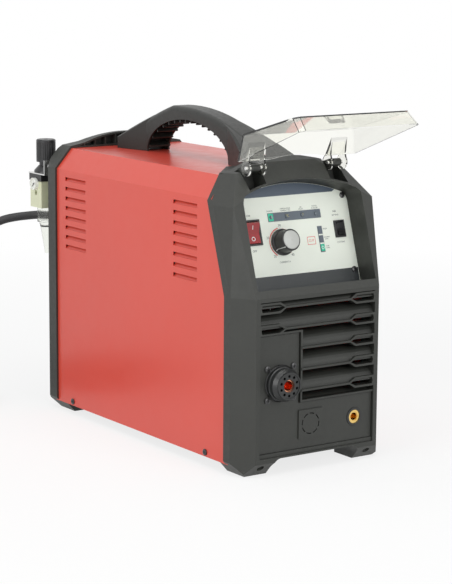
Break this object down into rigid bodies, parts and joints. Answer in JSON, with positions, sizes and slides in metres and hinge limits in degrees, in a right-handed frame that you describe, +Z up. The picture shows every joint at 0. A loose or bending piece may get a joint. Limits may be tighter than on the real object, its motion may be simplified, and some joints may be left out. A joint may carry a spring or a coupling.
{
  "type": "plasma cutter unit",
  "caption": "Portable inverter plasma cutter unit with a built-in compressor: red cover between dark moulded bezels, arched handle, clear lid over the controls, rear regulator and mains lead.",
  "frame": {"origin": "on the floor, under the middle of the whole unit without its mains lead", "axes": "+Z up, the front with the controls faces -Y, +X is to the right seen from the front; the unit is longest along Y"},
  "size_m": [0.4546, 0.7053, 0.4302],
  "materials": {
    "bezel_plastic": "moulded, fine satin texture",
    "red_paint": "semi-gloss powder coat",
    "black_paint": "satin powder coat",
    "black_plastic": "satin",
    "clear_plastic": "clear, polished",
    "panel_face": "printed front panel, satin",
    "display_film": "tinted film",
    "led_lens": "clear lens",
    "rocker_red": "translucent red, polished",
    "cap_grey": "satin",
    "bright_steel": "zinc plated",
    "brass": "machined",
    "copper_alloy": "machined copper alloy",
    "regulator_enamel": "die casting, pale enamel",
    "olive_fitting": "satin",
    "bowl_plastic": "clear polycarbonate",
    "dial_white": "satin",
    "cord_rubber": "matt sheath",
    "zinc_sheet": "galvanised sheet",
    "cast_aluminium": "as cast",
    "board_green": "circuit board",
    "sleeve_blue": "printed sleeve, bare",
    "core_steel": "laminated core",
    "enamelled_copper": "enamelled wire",
    "hose_blue": "smooth hose"
  },
  "bodies": {
    "case": {"front_bezel": "bezel_plastic", "rear_bezel": "bezel_plastic", "case_cover": "red_paint", "base_plate": "black_paint", "rear_panel": "black_paint", "carry_handle": "bezel_plastic", "connector_plate": "bezel_plastic", "control_plate": "panel_face", "panel_screws": "black_paint", "led_window": "display_film", "indicator_leds": "led_lens", "level_display": "display_film", "power_switch_body": "black_plastic", "mode_switch_body": "black_plastic", "current_pot": "bright_steel", "lid_pins": "bright_steel", "torch_socket_body": "black_plastic", "torch_socket_insert": "black_plastic", "torch_contact": "copper_alloy", "socket_screws": "black_paint", "earth_socket_body": "black_plastic", "earth_contact": "brass", "case_screws": "black_paint", "foot_screws": "bright_steel", "fan_frame": "black_plastic", "fan_guard": "bright_steel", "guard_screws": "black_paint", "regulator_bracket": "bright_steel", "regulator_bonnet": "black_plastic", "regulator_body": "regulator_enamel", "air_nipple": "olive_fitting", "filter_bowl": "bowl_plastic", "pressure_gauge": "dial_white", "cable_gland": "black_plastic", "mains_cord": "cord_rubber", "cord_coil": "cord_rubber", "mains_plug": "black_plastic", "partition": "zinc_sheet", "heatsink": "cast_aluminium", "power_board": "board_green", "capacitors": "sleeve_blue", "transformer_core": "core_steel", "transformer_winding": "enamelled_copper", "compressor_motor": "cast_aluminium", "compressor_head": "cast_aluminium", "air_valve": "black_paint", "air_hose": "hose_blue"},
    "lid": {"clear_lid": "clear_plastic"},
    "power_rocker": {"power_rocker": "rocker_red"},
    "mode_rocker": {"mode_rocker": "black_plastic"},
    "current_dial": {"pot_shaft": "bright_steel", "current_knob": "black_plastic", "knob_cap": "cap_grey"},
    "regulator_knob": {"regulator_knob": "black_plastic"},
    "gauge_needle": {"gauge_needle": "black_plastic"},
    "fan_rotor": {"fan_rotor": "black_plastic"},
    "flywheel": {"compressor_flywheel": "core_steel"}
  },
  "joints": [
    {"name": "lid_hinge", "type": "hinge", "parent": "case", "child": "lid", "pos_m": [0, -0.1615, 0.3603], "axis": [1, 0, 0], "range_deg": [0, 93.5]},
    {"name": "power_rocker", "type": "hinge", "parent": "case", "child": "power_rocker", "pos_m": [-0.0615, -0.15944, 0.28269], "axis": [1, 0, 0], "range_deg": [-18, 0]},
    {"name": "mode_rocker", "type": "hinge", "parent": "case", "child": "mode_rocker", "pos_m": [0.0678, -0.16082, 0.27819], "axis": [1, 0, 0], "range_deg": [0, 18]},
    {"name": "current_dial", "type": "hinge", "parent": "case", "child": "current_dial", "pos_m": [-0.02, -0.16463, 0.26922], "axis": [0, -0.9558, 0.294], "range_deg": [-269, 13]},
    {"name": "regulator_knob", "type": "hinge", "parent": "case", "child": "regulator_knob", "pos_m": [-0.093, 0.274, 0.34], "axis": [0, 0, 1], "range_deg": [-720, 720]},
    {"name": "gauge_needle", "type": "hinge", "parent": "case", "child": "gauge_needle", "pos_m": [-0.11, 0.274, 0.299], "axis": [1, 0, 0], "range_deg": [0, 270], "stiffness_Nm_per_rad": 0.0002},
    {"name": "fan_spin", "type": "hinge", "parent": "case", "child": "fan_rotor", "pos_m": [0.024, 0.23, 0.14], "axis": [0, 1, 0], "continuous": true},
    {"name": "flywheel_spin", "type": "hinge", "parent": "case", "child": "flywheel", "pos_m": [-0.05, 0.102, 0.068], "axis": [0, 1, 0], "continuous": true}
  ]
}
